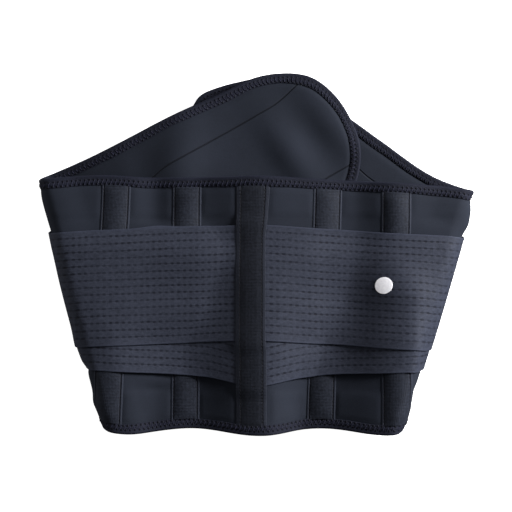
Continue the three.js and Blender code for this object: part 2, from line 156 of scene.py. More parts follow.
def base(s, t):
    """The cloth's middle layer: flat, then a half cylinder past the fold line, then flat under it.
    With p the distance past the line, the reach is r sin(p/r) and the drop r (1 - cos(p/r))."""
    p, along = fold_place(s, t)
    tilt, start = pick(s, TILT), pick(s, START)
    turn = np.clip(p / RADIUS, 0, np.pi)
    stray = np.where(s < 0, *(sum(d * np.exp(-((along - c) / w) ** 2) for d, c, w in FOLD_STRAYS[k])
                              for k in (-1, 1)))
    reach = np.where(p < 0, p, np.where(p < ARC, RADIUS * np.sin(turn)
                     + stray * np.sin(turn) ** 2, ARC - p))
    x = np.sign(np.where(s == 0, 1, s)) * (start + reach * np.cos(tilt) + along * np.sin(tilt))
    y = -reach * np.sin(tilt) + along * np.cos(tilt)
    far = ease((p - ARC) / 40)
    for k in (-1, 1):
        for dx, dy, cx, cy, r in WING_STRAYS[k]:
            near = far * np.where(k * s > 0, hump(x, y, cx, cy, r, r), 0)
            x, y = x + dx * near, y + dy * near
    climb = ease((p - LIFT_FROM) / LIFT_LENGTH) * LIFT * (s < 0)
    late = 2.2 * np.exp(-((p - 100) / 38.0) ** 2) * (s < 0)
    settle = ease((p - ARC) / 60)
    z = (BACK_LEVEL - RADIUS * (1 - np.cos(turn)) + climb - late * settle
         + back_relief(s, t, p) * (1 - ease(p / 26)) + settle * wing_relief(x, y, s < 0))
    return np.stack([x, y, z], axis=-1)


def place(s, t, h):
    """The point h outside the middle layer, along base_s x base_t, and that normal."""
    s, t, h = np.broadcast_arrays(np.asarray(s, float), np.asarray(t, float), np.asarray(h, float))
    e = 0.4
    n = np.cross(base(s + e, t) - base(s - e, t), base(s, t + e) - base(s, t - e))
    n /= np.linalg.norm(n, axis=-1, keepdims=True)
    return base(s, t) + h[..., None] * n, n


def top_edge(s):
    """Smooth curve through the table: cubic Hermite with centred slopes."""
    x = np.clip(s, TOP_OUT[0], TOP_OUT[-1])
    n = len(TOP_OUT)
    lo, hi = np.maximum(np.arange(n) - 1, 0), np.minimum(np.arange(n) + 1, n - 1)
    slope = (TOP_UP[hi] - TOP_UP[lo]) / (TOP_OUT[hi] - TOP_OUT[lo])
    i = np.clip(np.searchsorted(TOP_OUT, x) - 1, 0, n - 2)
    w = TOP_OUT[i + 1] - TOP_OUT[i]
    f = (x - TOP_OUT[i]) / w
    return (TOP_UP[i] * (2 * f**3 - 3 * f**2 + 1) + TOP_UP[i + 1] * (3 * f**2 - 2 * f**3)
            + w * (slope[i] * (f**3 - 2 * f**2 + f) + slope[i + 1] * (f**3 - f**2)))


def wave_edge(s):
    """The wavy bottom edge, a cosine along the belt."""
    return -HALF_HEIGHT - WAVE * np.cos(2 * np.pi * (s - WAVE_START) / WAVE_LENGTH)


LOW_S, LOW_T = FOLD_REACH - 45, -HALF_HEIGHT - WAVE * 0.8
LOW_ANGLE = {}
for k in (-1, 1):
    ds, dt = CENTRE[k] - LOW_S, END_T - LOW_T
    LOW_ANGLE[k] = math.atan2(dt, ds) - math.asin(END_RADIUS[k] / math.hypot(ds, dt))


def inside(s, t):
    """How far a pattern point lies inside the cut edge: the least of the distances to the top curve,
    the wavy bottom, the wing's straight lower edge and the rounded end."""
    a, angle = np.abs(s), pick(s, LOW_ANGLE)
    ds, dt = a - pick(s, CENTRE), t - END_T
    line = (t - LOW_T) * np.cos(angle) - (a - LOW_S) * np.sin(angle)
    end = pick(s, END_RADIUS) - np.hypot(ds, dt)
    soft = -1.5 * np.logaddexp((wave_edge(s) - t) / 1.5, -line / 1.5)
    low = np.where((ds * np.cos(angle) + dt * np.sin(angle) > 0) & (dt < 0), end, soft)
    high = np.where(ds > 0, np.where(dt >= 0, end, 1e3), top_edge(s) - t)
    return np.minimum(low, high)


def meet(s0, k, inset, up):
    """Where the line s = s0 + k t meets the cut edge set in by inset, by halving."""
    a0 = np.abs(s0) + np.abs(k) * END_T - pick(s0, CENTRE)
    a = END_T - np.maximum(0, a0) * np.abs(k) / (1 + k * k)
    b = np.full_like(a, 150.0 if up else -150.0)
    for _ in range(44):
        m = (a + b) / 2
        good = inside(s0 + k * m, m) > inset
        a, b = np.where(good, m, a), np.where(good, b, m)
    return a


def columns(back, fold, wing, end, inset):
    """Lines across the belt from one end to the other: upright at the middle, along the fold in it."""
    halves = []
    for k in (-1, 1):
        c = np.linspace(0, 1, back + 1)[1:]
        s0, tilt = [c * START[k]], [c * math.tan(TILT[k])]
        middle = (CENTRE[k] - START[k]) * math.cos(TILT[k]) - END_T * math.sin(TILT[k])
        last = middle + END_RADIUS[k] - 0.05 - inset
        f = np.sin(np.linspace(0, 1, end + 1)[1:] * np.pi / 2)
        p = np.concatenate([np.linspace(0, ARC, fold + 1)[1:], np.linspace(ARC, middle, wing + 1)[1:],
                            middle + f * (last - middle)])
        s0.append(START[k] + p / math.cos(TILT[k]))
        tilt.append(np.full(len(p), math.tan(TILT[k])))
        halves.append((k * np.concatenate(s0), k * np.concatenate(tilt)))
    (ls, lk), (rs, rk) = halves
    return np.concatenate([ls[::-1], [0], rs]), np.concatenate([lk[::-1], [0], rk])


# Meshes

def add(name, points, faces, material, uv=None, smooth=True):
    """A new object at the origin; points in millimetres of the pattern's frame."""
    mesh = bpy.data.meshes.new(name)
    points = (np.asarray(points).reshape(-1, 3) + SHIFT) * MM
    faces = np.asarray(faces)
    mesh.vertices.add(len(points))
    mesh.vertices.foreach_set("co", points.astype(np.float32).ravel())
    mesh.loops.add(faces.size)
    mesh.loops.foreach_set("vertex_index", faces.astype(np.int32).ravel())
    mesh.polygons.add(len(faces))
    mesh.polygons.foreach_set("loop_start", np.arange(0, faces.size, faces.shape[1], dtype=np.int32))
    mesh.update(calc_edges=True)
    if uv is not None:
        layer = mesh.uv_layers.new(name="pattern")
        layer.data.foreach_set("uv", (np.asarray(uv).reshape(-1, 2)[faces.ravel()] * MM)
                               .astype(np.float32).ravel())
    mesh.validate()
    mesh.polygons.foreach_set("use_smooth", np.full(len(mesh.polygons), smooth))
    mesh.materials.append(material)
    o = bpy.data.objects.new(name, mesh)
    bpy.context.scene.collection.objects.link(o)
    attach(o, "root")
    return o


def grid_faces(n, m, wrap_n=False, wrap_m=False):
    """Quads of an n by m grid of points, closed round either way if asked."""
    rows, cols = n if wrap_n else n - 1, m if wrap_m else m - 1
    i, j = np.meshgrid(np.arange(rows), np.arange(cols), indexing="ij")
    i1, j1 = (i + 1) % n, (j + 1) % m
    return np.stack([i * m + j, i1 * m + j, i1 * m + j1, i * m + j1], -1).reshape(-1, 4)


def sheet(name, s, t, low, high, material, uv, edge=0.6):
    """A closed sheet over grids s and t between heights low and high. Towards its border both faces
    run together on a quarter round: half thickness times sqrt(1 - (1 - d/edge)^2)."""
    n, m = s.shape
    mid, half = (low + high) / 2, (high - low) / 2
    d = np.hypot(np.gradient(s, axis=1), np.gradient(t, axis=1))
    across = np.concatenate([np.zeros((n, 1)), np.cumsum((d[:, 1:] + d[:, :-1]) / 2, axis=1)], 1)
    d = np.hypot(np.gradient(s, axis=0), np.gradient(t, axis=0))
    along = np.concatenate([np.zeros((1, m)), np.cumsum((d[1:] + d[:-1]) / 2, axis=0)], 0)
    rim = np.minimum(np.minimum(across, across[:, -1:] - across), np.minimum(along, along[-1:] - along))
    half = half * np.sqrt(1 - (1 - np.clip(rim / edge, 0, 1)) ** 2)
    top, _ = place(s, t, mid + half)
    under, _ = place(s, t, mid - half)
    index = np.arange(n * m).reshape(n, m)
    lower = index + n * m
    lower[0], lower[-1], lower[:, 0], lower[:, -1] = index[0], index[-1], index[:, 0], index[:, -1]
    up = grid_faces(n, m)
    down = lower.ravel()[up][:, ::-1]
    points = np.concatenate([top.reshape(-1, 3), under.reshape(-1, 3)])
    flat = np.concatenate([np.asarray(uv).reshape(-1, 2)] * 2)
    used, faces = np.unique(np.concatenate([up, down]), return_inverse=True)
    return add(name, points[used], faces.reshape(-1, 4), material, flat[used])


def edged(count, length, edge=0.6):
    """Shares from 0 to 1, even but for three extra lines close to each border."""
    near = np.array([0, 0.1, 0.35, 0.75, 1.3]) * edge / length
    inner = np.linspace(near[-1], 1 - near[-1], count)
    return np.concatenate([near[:-1], inner, 1 - near[:-1][::-1]])


def thread(name, a, b, height, radius, material):
    """Stitches from pattern points a to b: each a tapered tube of six sides on five rings, whose
    middle rises half its radius over the surface and whose ends dip into it."""
    x = np.linspace(0, 1, 5)
    s = a[:, None, 0] + (b - a)[:, None, 0] * x
    t = a[:, None, 1] + (b - a)[:, None, 1] * x
    rise = np.array([-0.9, 0.25, 0.5, 0.25, -0.9]) * radius
    sign = np.sign(height)
    centre, n = place(s, t, height[:, None] + rise * sign[:, None])
    run = np.gradient(centre, axis=1)
    run /= np.linalg.norm(run, axis=-1, keepdims=True)
    side = np.cross(n, run)
    size = radius * np.array([0.45, 0.95, 1, 0.95, 0.45])
    turn = np.arange(6) * np.pi / 3
    ring = (centre[:, :, None] + size[None, :, None, None]
            * (side[:, :, None] * np.cos(turn)[None, None, :, None]
               + n[:, :, None] * np.sin(turn)[None, None, :, None]))
    count = len(a)
    one = grid_faces(5, 6, wrap_m=True)
    caps = np.array([[0, 5, 4, 1], [1, 4, 3, 2], [24, 25, 28, 29], [25, 26, 27, 28]])
    one = np.concatenate([one[:, ::-1], caps[:, ::-1]])
    faces = (np.arange(count)[:, None, None] * 30 + one[None]).reshape(-1, 4)
    return add(name, ring, faces, material)


def run_of(points, pitch, length):
    """Cuts a line of pattern points into stitches of a length, one every pitch."""
    points = np.asarray(points, float)
    gone = np.concatenate([[0], np.cumsum(np.hypot(*np.diff(points, axis=0).T))])
    at = np.arange(0.5, gone[-1] - length - 0.3, pitch)
    return [np.stack([np.interp(at + d, gone, points[:, i]) for i in (0, 1)], 1) for d in (0, length)]


# Materials

def maths(operation):
    """A method that lays down one Math node on its socket and the other values."""
    def method(self, *others):
        return self.paint.node("ShaderNodeMath", {"operation": operation},
                               dict(enumerate([self, *others])))
    return method


class Wire:
    """A socket that adds, multiplies and compares by laying down Math nodes."""

    def __init__(self, paint, socket):
        self.paint, self.socket = paint, socket

    __add__ = __radd__ = maths("ADD")
    __mul__ = __rmul__ = maths("MULTIPLY")
    __sub__ = maths("SUBTRACT")
    __truediv__ = maths("DIVIDE")
    abs = maths("ABSOLUTE")
    fract = maths("FRACT")
    sin = maths("SINE")
    low = maths("MINIMUM")
    high = maths("MAXIMUM")
    power = maths("POWER")

    def __rsub__(self, o):
        return self * -1 + o

    def between(self, a, b):
        """0 at a, 1 at b, smooth between."""
        return self.paint.node("ShaderNodeMapRange", {"interpolation_type": "SMOOTHSTEP"},
                               {"Value": self, "From Min": a, "From Max": b})


class Paint:
    """One material; node() is the only way in which nodes are laid down."""

    def __init__(self, name, **constants):
        self.material = bpy.data.materials.new(name)
        self.material.use_nodes = True
        self.tree = self.material.node_tree
        self.shader = self.tree.nodes["Principled BSDF"]
        for key, value in constants.items():
            self.shader.inputs[key.replace("_", " ")].default_value = value

    def node(self, kind, settings, inputs, out=0):
        """A node of a kind; its settings come first, then the value or wire of each input."""
        n = self.tree.nodes.new(kind)
        for key, value in settings.items():
            setattr(n, key, value)
        for key, value in inputs.items():
            if isinstance(value, Wire):
                self.tree.links.new(value.socket, n.inputs[key])
            else:
                n.inputs[key].default_value = value
        return Wire(self, n.outputs[out])

    def feed(self, key, wire):
        """Link a wire to one input of the shader."""
        self.tree.links.new(wire.socket, self.shader.inputs[key])

    def uv(self):
        """Pattern coordinates in millimetres."""
        split = self.node("ShaderNodeUVMap", {"uv_map": "pattern"}, {})
        u = self.node("ShaderNodeSeparateXYZ", {}, {0: split})
        v = Wire(self, u.socket.node.outputs[1])
        return u * 1000, v * 1000

    def spot(self):
        """Object coordinates in metres."""
        return self.node("ShaderNodeTexCoord", {}, {}, "Object")

    def noise(self, scale, detail=3.0, rough=0.55):
        """Noise in space, about scale cells to a metre."""
        return self.node("ShaderNodeTexNoise", {}, {"Vector": self.spot(), "Scale": scale,
                                                    "Detail": detail, "Roughness": rough})

    def streaks(self, along, across):
        """Noise drawn out along the pattern's length."""
        split = self.node("ShaderNodeUVMap", {"uv_map": "pattern"}, {})
        long = self.node("ShaderNodeVectorMath", {"operation": "MULTIPLY"},
                         {0: split, 1: (along, across, 0)})
        return self.node("ShaderNodeTexNoise", {}, {"Vector": long, "Scale": 1.0, "Detail": 3.0,
                                                    "Roughness": 0.6})

    def blend(self, f, a, b):
        """Colour a where f is 0, b where it is 1."""
        n = self.tree.nodes.new("ShaderNodeMix")
        n.data_type = "RGBA"
        for key, value in (("Factor_Float", f), ("A_Color", a), ("B_Color", b)):
            socket = next(x for x in n.inputs if x.identifier == key)
            if isinstance(value, Wire):
                self.tree.links.new(value.socket, socket)
            else:
                socket.default_value = value
        return Wire(self, next(x for x in n.outputs if x.identifier == "Result_Color"))

    def bump(self, height, distance, strength=1.0):
        """A Bump node's normal; distance is in metres."""
        return self.node("ShaderNodeBump", {}, {"Height": height, "Distance": distance,
                                                "Strength": strength})


REFLECT = 0.45                              # the cloth reflects this share of its seen colour


def rgb(r, g, b):
    """An sRGB colour of 0 to 255 that cloth is seen to have, as the linear share of light it reflects.
    The lamps are 1 / REFLECT as strong in return, so white paper is far brighter than the cloth."""
    c = np.array([r, g, b]) / 255
    c = np.where(c <= 0.04045, c / 12.92, ((c + 0.055) / 1.055) ** 2.4)
    return (*(REFLECT * c), 1.0)


TURN = 2 * math.pi


def brushed_cloth(name, light, dark):
    """Thin jersey over foam: fine wales and nap, and the two creases where the loop strip is sewn
    through the wings, at 66 and -20 mm, beyond 306 mm from the middle."""
    m = Paint(name, Sheen_Weight=0.06, Sheen_Roughness=0.5, Specular_IOR_Level=0.09)
    m.shader.inputs["Sheen Tint"].default_value = rgb(150, 160, 190)
    u, v = m.uv()
    slow, fine = m.noise(14, 3), m.noise(1100, 3, 0.7)
    nap = m.blend((slow * 0.4 + fine * 0.6).between(0.25, 0.75), dark, light)
    dip = (1 - u.abs().between(312, 342)) * 3.5
    rise = (u.abs() - 452).between(0, 60) * 9
    crease = (v - 66.4 + dip - rise).abs().low((v - LOOP_LOW).abs())
    seam = (1 - crease.between(0.2, 1.15)) * u.abs().between(LOOP_START - 1, LOOP_START + 3)
    m.feed("Base Color", m.blend(seam * 0.65, nap, rgb(12, 13, 18)))
    m.feed("Roughness", 0.72 + fine * 0.2)
    wale = (u * (TURN / 0.95)).sin() * (v * (TURN / 0.8)).sin()
    m.feed("Normal", m.bump(wale * 0.3 + fine * 1.2 + m.noise(140, 2) * 0.8 - seam * 8, 0.00007, 1.0))
    return m.material


def ribbed_tape(name, light, dark, seam, flange, fuzz=1.0):
    """Napped tape with fine cords along it and ribs across it, broken up by speckle. Its two seams are
    sunken dark lines; the flanges outside them are smoother and lighter."""
    m = Paint(name, Sheen_Weight=0.08, Sheen_Roughness=0.4, Specular_IOR_Level=0.11)
    m.shader.inputs["Sheen Tint"].default_value = rgb(160, 168, 200)
    u, v = m.uv()
    cord = (u * (math.pi / 1.35)).sin().abs()
    speck, patch = m.noise(420, 3, 0.65), m.noise(90, 2)
    ribs = (v * (TURN / 2.9) + patch * 3).sin() * patch.between(0.35, 0.7)
    body = m.blend((cord * 0.15 + speck * 0.9 * fuzz + ribs * 0.08).between(0.2, 0.95), dark, light)
    outer = u.abs().between(seam + 0.3, seam + 0.9)
    line = 1 - (u.abs() - seam).abs().between(0.25, 0.8)
    m.feed("Base Color", m.blend(line * 0.7, m.blend(outer * 0.7, body, flange), rgb(20, 21, 33)))
    m.feed("Roughness", 0.58 + speck * 0.25)
    m.feed("Normal", m.bump(cord * 0.3 + ribs * 0.2 + speck * 1.1 * fuzz - line * 1.5, 0.00022, 1.0))
    return m.material


def dashed_elastic(name):
    """Woven elastic: cords along it, picks across it, and rows of short sunken darker dashes, kept off
    the two plain selvages. A dash is an ellipse, with a faint trail to the next one."""
    rows, every, first = 6.87, 5.9, 6.6
    m = Paint(name, Sheen_Weight=0.05, Sheen_Roughness=0.5, Specular_IOR_Level=0.1)
    m.shader.inputs["Sheen Tint"].default_value = rgb(170, 178, 205)
    u, v = m.uv()
    fine, mottle, slow = m.noise(700, 3, 0.7), m.noise(300, 2, 0.6), m.noise(30, 3)
    drift = (m.noise(60, 2) - 0.5) * 1.1
    streak = m.streaks(140, 1100)
    row = (((v + drift * 0.4 - first) / rows + 0.5).fract() - 0.5) * rows
    beat = (((u + drift) / every).fract() - 0.5) * every
    dash = 1 - ((row / 1.15) * (row / 1.15) + (beat / 2.1) * (beat / 2.1)).between(0.1, 1.6)
    trail = (1 - row.abs().between(0.15, 0.9)) * (0.25 + slow * 0.45)
    keep = v.between(3.0, 3.6) * (1 - v.between(BAND_WIDE - 3.6, BAND_WIDE - 3.0))
    dash = dash.high(trail) * keep * (0.65 + slow.between(0.35, 0.65) * 0.35)
    cord = (v * (math.pi / 1.15)).sin().abs()
    picks = (u * (TURN / 0.62)).sin()
    hem = 1 - v.between(1.2, 2.2) * (1 - v.between(BAND_WIDE - 2.2, BAND_WIDE - 1.2))
    weave = (cord * 0.15 + fine * 0.35 + mottle * 0.4 + streak * 0.35).between(0.25, 0.95)
    body = m.blend(weave, rgb(32, 35, 47), rgb(74, 79, 96))
    body = m.blend(hem * 0.5, body, rgb(66, 71, 89))
    m.feed("Base Color", m.blend(dash * 0.75, body, rgb(12, 13, 26)))
    m.feed("Roughness", 0.52 + fine * 0.25)
    relief = cord * 0.4 + picks * 0.15 + fine * 0.5 - dash * 1.5 + hem * 0.3
    m.feed("Normal", m.bump(relief, 0.00013, 1.0))
    return m.material


def stitched_binding(name):
    """Folded tape under two rows of needle holes; the cloth dips into each hole, and each hole is
    painted near black as painted shade.
    """
    m = Paint(name, Sheen_Weight=0.04, Sheen_Roughness=0.4, Specular_IOR_Level=0.08)
    m.shader.inputs["Sheen Tint"].default_value = rgb(150, 150, 190)
    u, v = m.uv()
    fine, slow = m.noise(850, 3, 0.7), m.noise(30, 3)

    def holes(at, lead):
        beat = (((u - lead) / ZIGZAG).fract() - 0.5) * ZIGZAG
        off = v.abs() - at
        r = (beat * beat + off * off).power(0.5)
        return 1 - r.between(0.5, 1.35)

    hole = holes(HOLES[0], 0.0).high(holes(HOLES[1], SLANT))
    weave = ((u + v) * (TURN / 1.1)).sin() * ((u - v) * (TURN / 1.1)).sin()
    tape = m.blend((slow * 0.4 + fine * 0.6).between(0.25, 0.75), rgb(26, 28, 41), rgb(44, 47, 63))
    # painted shade: each needle hole is coloured near black, rgb(4, 4, 9), for the shade inside it, not
    # for the tape's own colour
    m.feed("Base Color", m.blend(hole * 0.75, tape, rgb(4, 4, 9)))
    m.feed("Roughness", 0.56 + fine * 0.25)
    m.feed("Normal", m.bump(weave * 0.3 + fine * 0.6 - hole * 3.5, 0.00018, 1.0))
    return m.material


def plain_thread(name, colour):
    """Sewing thread with a little fuzz."""
    m = Paint(name, Sheen_Weight=0.05, Specular_IOR_Level=0.09)
    fine = m.noise(1500, 2, 0.6)
    dark = tuple(0.6 * c for c in colour[:3]) + (1.0,)
    m.feed("Base Color", m.blend(fine.between(0.35, 0.65), dark, colour))
    m.feed("Roughness", 0.45 + fine * 0.25)
    m.feed("Normal", m.bump(fine, 0.0001, 0.6))
    return m.material


def pile(name, light, dark, scale):
    """Hook or loop pile: a dense field of small raised dots on a darker ground."""
    m = Paint(name, Specular_IOR_Level=0.18)
    cells = m.node("ShaderNodeTexVoronoi", {"feature": "F1"}, {"Vector": m.spot(), "Scale": scale},
                   "Distance")
    tuft = 1 - cells.between(0.1, 0.5)
    m.feed("Base Color", m.blend(tuft, dark, light))
    m.feed("Roughness", 0.7 + tuft * 0.2)
    m.feed("Normal", m.bump(tuft + m.noise(600) * 0.4, 0.0005, 0.9))
    return m.material


def sticker_paper(name):
    """Smooth white paper with a trace of fibre."""
    m = Paint(name, Specular_IOR_Level=0.5)
    fibre = m.noise(500, 4, 0.7)
    shade, white = (0.84, 0.83, 0.88, 1.0), (0.95, 0.94, 0.97, 1.0)
    m.feed("Base Color", m.blend(fibre.between(0.3, 0.7), shade, white))
    m.feed("Roughness", 0.42 + fibre * 0.12)
    m.feed("Normal", m.bump(fibre, 0.00005, 0.5))
    return m.material


CLOTH = brushed_cloth("brushed cloth", rgb(50, 55, 68), rgb(36, 40, 50))
LOOP = pile("loop pile", rgb(44, 47, 56), rgb(24, 25, 31), 700)
STAY_SEAM, SPINE_SEAM, NO_SEAM = 11.6, 10.8, 400.0
TAPE = ribbed_tape("ribbed tape", rgb(54, 59, 73), rgb(25, 28, 38), STAY_SEAM, rgb(54, 59, 73))
SPINE_TAPE = ribbed_tape("spine tape", rgb(46, 50, 62), rgb(22, 25, 34), SPINE_SEAM, rgb(50, 54, 67))
WEB = ribbed_tape("pull webbing", rgb(42, 44, 53), rgb(20, 21, 27), NO_SEAM, rgb(42, 44, 53), 0.4)
ELASTIC = dashed_elastic("dashed elastic")
BINDING = stitched_binding("stitched binding")
THREAD = plain_thread("navy thread", rgb(54, 55, 80))
SEAM = plain_thread("dark thread", rgb(26, 27, 36))
PALE_THREAD = plain_thread("grey thread", rgb(70, 72, 92))
HOOK = pile("hook pile", rgb(40, 41, 46), rgb(16, 17, 20), 900)
PAPER = sticker_paper("sticker paper")


# Pieces

def belt_cloth():
    """Foam cloth, squeezed thin under the binding and swelling 0.8 mm proud of it on the way in. Its
    outer face swells only where the back panel is bare of tapes."""
    s0, k = columns(84, 36, 110, 44, 1.6)
    low, high = meet(s0, k, 1.6, False), meet(s0, k, 1.6, True)
    f = edged(84, 230)
    t = low[:, None] + (high - low)[:, None] * f
    s = s0[:, None] + k[:, None] * t
    swell = 0.8 * ease((inside(s, t) - 9.4) / 5)
    near = np.min([np.abs(s - stay_mid(i, t)) for i in range(4)] + [np.abs(s - SPINE_AT) - 2], axis=0)
    p, _ = fold_place(s, t)
    bare = ease((near - 13) / 5) * (1 - ease(p / 20)) * (1 - ease((88 - t) / 4) * ease((t + 86) / 4))
    o = sheet("belt_cloth", s, t, -OUTER - swell, OUTER + swell * bare * 0.8, CLOTH,
              np.stack([s, t], -1), 0.8)
    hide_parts("belt_body")
    return o


def edge_ring(step):
    """Points evenly round the cut edge with the way in at each, from the gradient of inside()."""
    s0, k = columns(90, 40, 110, 60, 0.0)
    low, high = meet(s0, k, 0.0, False), meet(s0, k, 0.0, True)
    s = np.concatenate([s0 + k * low, (s0 + k * high)[::-1]])
    t = np.concatenate([low, high[::-1]])
    s, t = np.append(s, s[0]), np.append(t, t[0])
    gone = np.concatenate([[0], np.cumsum(np.hypot(np.diff(s), np.diff(t)))])
    at = np.linspace(0, gone[-1], int(gone[-1] / step) + 1)[:-1]
    s, t = np.interp(at, gone, s), np.interp(at, gone, t)
    e = 0.5
    gs, gt = inside(s + e, t) - inside(s - e, t), inside(s, t + e) - inside(s, t - e)
    size = np.hypot(gs, gt)
    weights = np.array([1, 2, 3, 2, 1]) / 9

    def soft(v):
        """Each value averaged with two on either side."""
        return sum(np.roll(v / size, i - 2) * w for i, w in enumerate(weights))

    return s, t, soft(gs), soft(gt), at


def edge_binding():
    """A rounded channel section carried round the edge; its faces swell between the stitches."""
    s, t, ns, nt, at = edge_ring(1.3)
    face, inner = OUTER + GAP + 1.0, OUTER + GAP
    outside = [(10.1, inner + 0.1), (9.8, inner + 0.35), (9.3, inner + 0.4), (8.8, inner + 0.3),
               (8.0, inner + 0.75), (6.8, face), (5.6, face - 0.1), (4.6, face - 0.35),
               (3.7, face - 0.05), (2.7, face), (2.0, face)]
    turn = [(1.9 - 1.9 * np.cos(a), face * np.sin(a)) for a in np.linspace(np.pi / 2, -np.pi / 2, 9)]
    back = [(d, -h) for d, h in outside[::-1]]
    lining = [(9.7, -inner), (1.2, -inner), (1.0, 0.0), (1.2, inner), (9.7, inner)]
    d, h = np.array(outside + turn + back + lining).T
    is_face = (np.abs(h) > inner + 0.1) | (d < 1.0)
    puff = 0.12 * np.cos(TURN * at / ZIGZAG)[:, None] * np.exp(-((d - 6.7) / 1.8) ** 2)
    wander = 0.25 * np.sin(at / 17.0) + 0.2 * np.sin(at / 6.3 + 1.0)
    d_here = d + wander[:, None] * np.clip((d - 3) / 6, 0, 1)
    S, T = s[:, None] + ns[:, None] * d_here, t[:, None] + nt[:, None] * d_here
    points, _ = place(S, T, h + np.sign(h) * puff * is_face)
    signed = np.where(h >= 0, 1, -1) * d
    uv = np.stack([np.broadcast_to(at[:, None], S.shape), np.broadcast_to(signed, S.shape)], -1)
    o = add("binding_tape", points, grid_faces(*S.shape, True, True), BINDING, uv)
    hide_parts("edge_binding")
    zigzag(face - 0.1)


def zigzag(height):
    """Slanted stitches between the two rows of holes, on both faces of the binding."""
    s, t, ns, nt, at = edge_ring(ZIGZAG)
    total = at[-1] + (at[1] - at[0])

    def further(values):
        """The values a slant further round the closed edge."""
        return np.interp((at + SLANT) % total, np.append(at, total), np.append(values, values[0]))

    a = np.stack([s + ns * HOLES[0], t + nt * HOLES[0]], 1)
    b = np.stack([further(s) + further(ns) * HOLES[1], further(t) + further(nt) * HOLES[1]], 1)
    heights = np.concatenate([np.full(len(a), height), np.full(len(a), -height)])
    o = thread("binding_stitches", np.concatenate([a, a]), np.concatenate([b, b]), heights, 0.34, THREAD)


def band_high(side, a):
    """t of an upper band's top edge, a from the middle of the back."""
    slope = -0.038 if side < 0 else -0.058
    return 77.6 + slope * a


def band_low(side, a):
    """t of a lower band's bottom edge, which dips towards the middle."""
    slope = 0.060 if side < 0 else 0.056
    return -71.5 + slope * a - 6 * (1 - ease(a / 50))


def stay_mid(i, t):
    """s of a stay channel's middle line, straight from the top of the back panel to its bottom."""
    top, bottom = STAYS[i][0] * FOLD_REACH, STAYS[i][1] * FOLD_REACH
    return (top + bottom) / 2 + (top - bottom) / (2 * HALF_HEIGHT) * t


def over_stays(s, t):
    """1 over a stay channel, easing down to a little less between them where the band bridges."""
    near = np.min([np.abs(s - stay_mid(i, t)) for i in range(4)], axis=0)
    rib = 1 - ease((near - 8) / 26)
    p, _ = fold_place(s, t)
    drawn = ease((p + 14) / 22) * (1 - ease((p - 30) / 12))
    inner = ease((np.abs(s) - 10) / 50)
    return np.where(p > 42, 0, mix(0.84 + 0.12 * rib, 0.5, drawn) * inner)


def band_floor(side, s, t, upper):
    """Height of a band's under face: over the cloth, the stays, the lower band and the loop panel."""
    p, _ = fold_place(s, t)
    far = ease((p - 60) / 50)
    over = 0.0
    if upper:
        a = np.abs(s)
        step = ease((t - band_low(side, a) - BAND_WIDE - 1) / STEP)
        over = np.maximum(1 - step, ease((p - ARC * 0.6) / 20))
    return OUTER + GAP + 2.5 * over_stays(s, t) + far * 1.3 + over * (BAND_THICK + GAP)


def band(side, upper):
    """An elastic pull band from under the spine cover to its end under the tab."""
    word, level = "right" if side > 0 else "left", "upper" if upper else "lower"
    start = abs(SPINE_AT + side * 9)
    a = start + (BAND_END - start) * edged(236, BAND_END - start)
    w = edged(64 if upper else 50, BAND_WIDE) * BAND_WIDE
    A, W = np.meshgrid(a, w, indexing="ij")
    ripple = 0.35 * np.sin(A / 31.0 + side) + 0.2 * np.sin(A / 11.0)
    if upper:
        T = band_high(side, A) - W[:, ::-1] + ripple * 0.5
    else:
        T = band_low(side, A) + W + ripple * 0.4
    S = side * A
    if side < 0:
        S, T, A, W = S[::-1], T[::-1], A[::-1], W[::-1]
    down = W[:, ::-1] if upper else BAND_WIDE - W
    low = band_floor(side, S, T, upper)
    low = low + 0.25 * np.sin(A / 23.0 + T / 40.0) * ease((A - 30) / 40)
    o = sheet(f"{level}_elastic_{word}", S, T, low, low + BAND_THICK, ELASTIC, np.stack([A, down], -1),
              0.55)
    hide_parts(f"{level}_band_{word}")


def stay_channel(i):
    """A tape sewn flat at both edges and raised over the stay between, 1 - (d / 11.4)^2 across it, with
    its ends tapering under the binding."""
    d = np.concatenate([np.linspace(-14, -9, 16), np.linspace(-8.4, 8.4, 16), np.linspace(9, 14, 16)])
    mid0, slope = stay_mid(i, 0.0), stay_mid(i, 1.0) - stay_mid(i, 0.0)
    s0 = mid0 + d
    k = np.full_like(s0, slope)
    low, high = meet(s0, k, TUCK, False), meet(s0, k, TUCK, True)
    T = low[:, None] + (high - low)[:, None] * edged(130, 220)
    S = s0[:, None] + k[:, None] * T
    D = np.broadcast_to(d[:, None], S.shape)
    end = np.minimum(T - low[:, None], high[:, None] - T)
    raised = np.clip(1 - (D / 11.4) ** 2, 0, 1)
    groove = np.exp(-((np.abs(D) - STAY_SEAM) / 0.5) ** 2)
    top = OUTER + 0.4 + 0.25 * ease((14 - np.abs(D)) / 1.5)
    top = top + 1.95 * raised * (0.45 + 0.55 * ease(end / 9))
    top = top - 0.15 * groove + 0.10 * raised * np.sin(T / 9.0 + i)
    o = sheet(f"stay_tape_{i + 1}", S, T, np.full_like(S, OUTER + 0.12), top, TAPE,
              np.stack([D, T], -1), 0.5)
    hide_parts(STAY_NODES[i])
    runs = []
    for at in (-STAY_SEAM, STAY_SEAM):
        a, b = (meet(np.array([mid0 + at]), np.array([slope]), 12, up)[0] for up in (False, True))
        y = np.linspace(a, b, 60)
        runs.append(run_of(np.stack([mid0 + at + slope * y, y], 1), PITCH, STITCH))
    a, b = (np.concatenate(x) for x in zip(*runs))
    o = thread(f"stay_stitches_{i + 1}", a, b, np.full(len(a), OUTER + 0.5), 0.25, SEAM)


